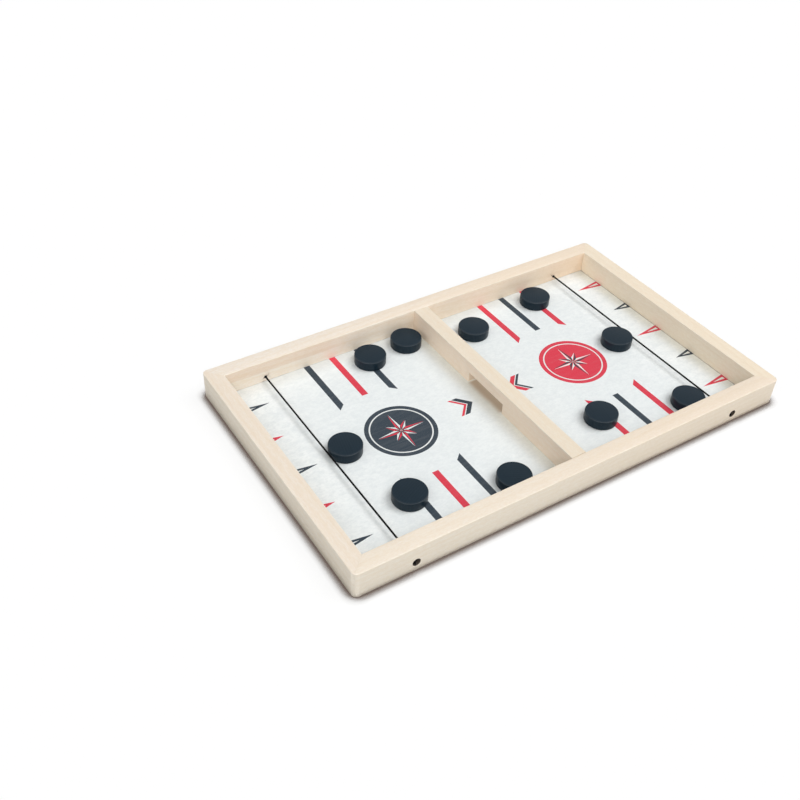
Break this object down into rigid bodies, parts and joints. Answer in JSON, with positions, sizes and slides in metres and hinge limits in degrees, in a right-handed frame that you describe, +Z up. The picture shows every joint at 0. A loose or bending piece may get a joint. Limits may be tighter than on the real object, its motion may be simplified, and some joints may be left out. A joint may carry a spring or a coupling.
{
  "type": "sling puck game",
  "caption": "Shallow wooden tray with a printed board, a gated divider, an elastic sling cord across each half and loose round pucks to shoot through the gate.",
  "frame": {"origin": "centre of the tray's footprint, on the surface it stands on", "axes": "+X along the tray from the left player to the right one, +Y to the back rail, +Z up"},
  "size_m": [0.43, 0.26, 0.025],
  "materials": {
    "pale_wood": "bare pale wood, fine grain",
    "printed_board": "thin board with a satin print",
    "black_puck": "black paint, satin",
    "elastic_cord": "black braided elastic"
  },
  "bodies": {
    "table": {"rail_front": "pale_wood", "rail_back": "pale_wood", "rail_left": "pale_wood", "rail_right": "pale_wood", "board": "printed_board", "divider": "pale_wood"},
    "sling_left": {"cord_left": "elastic_cord"},
    "sling_right": {"cord_right": "elastic_cord"},
    "puck_left_1": {"puck_left_1": "black_puck"},
    "puck_left_2": {"puck_left_2": "black_puck"},
    "puck_left_3": {"puck_left_3": "black_puck"},
    "puck_left_4": {"puck_left_4": "black_puck"},
    "puck_left_5": {"puck_left_5": "black_puck"},
    "puck_right_1": {"puck_right_1": "black_puck"},
    "puck_right_2": {"puck_right_2": "black_puck"},
    "puck_right_3": {"puck_right_3": "black_puck"},
    "puck_right_4": {"puck_right_4": "black_puck"},
    "puck_right_5": {"puck_right_5": "black_puck"}
  },
  "joints": [
    {"name": "sling_left_draw", "type": "slide", "parent": "table", "child": "sling_left", "axis": [1, 0, 0], "range_m": [-0.034, 0], "stiffness_N_per_m": 60, "deforming": ["cord_left"]},
    {"name": "sling_right_draw", "type": "slide", "parent": "table", "child": "sling_right", "axis": [1, 0, 0], "range_m": [0, 0.034], "stiffness_N_per_m": 60, "deforming": ["cord_right"]},
    {"name": "puck_left_3_shot", "type": "slide", "parent": "sling_left", "child": "puck_left_3", "axis": [1, 0, 0], "range_m": [0, 0.23]},
    {"name": "puck_right_3_shot", "type": "slide", "parent": "sling_right", "child": "puck_right_3", "axis": [1, 0, 0], "range_m": [-0.23, 0]},
    {"name": "puck_left_1_slide", "type": "slide", "parent": "table", "child": "puck_left_1", "axis": [1, 0, 0], "range_m": [-0.078, 0.012]},
    {"name": "puck_left_2_slide", "type": "slide", "parent": "table", "child": "puck_left_2", "axis": [0, 1, 0], "range_m": [-0.097, 0.002]},
    {"name": "puck_left_4_slide", "type": "slide", "parent": "table", "child": "puck_left_4", "axis": [1, 0, 0], "range_m": [-0.016, 0.065]},
    {"name": "puck_left_5_slide", "type": "slide", "parent": "table", "child": "puck_left_5", "axis": [0, 1, 0], "range_m": [-0.003, 0.062]},
    {"name": "puck_right_1_slide", "type": "slide", "parent": "table", "child": "puck_right_1", "axis": [0, 1, 0], "range_m": [-0.08, 0.019]},
    {"name": "puck_right_2_slide", "type": "slide", "parent": "table", "child": "puck_right_2", "axis": [1, 0, 0], "range_m": [-0.055, 0.026]},
    {"name": "puck_right_4_slide", "type": "slide", "parent": "table", "child": "puck_right_4", "axis": [1, 0, 0], "range_m": [-0.05, 0.004]},
    {"name": "puck_right_5_slide", "type": "slide", "parent": "table", "child": "puck_right_5", "axis": [0, 1, 0], "range_m": [-0.026, 0.04]}
  ]
}
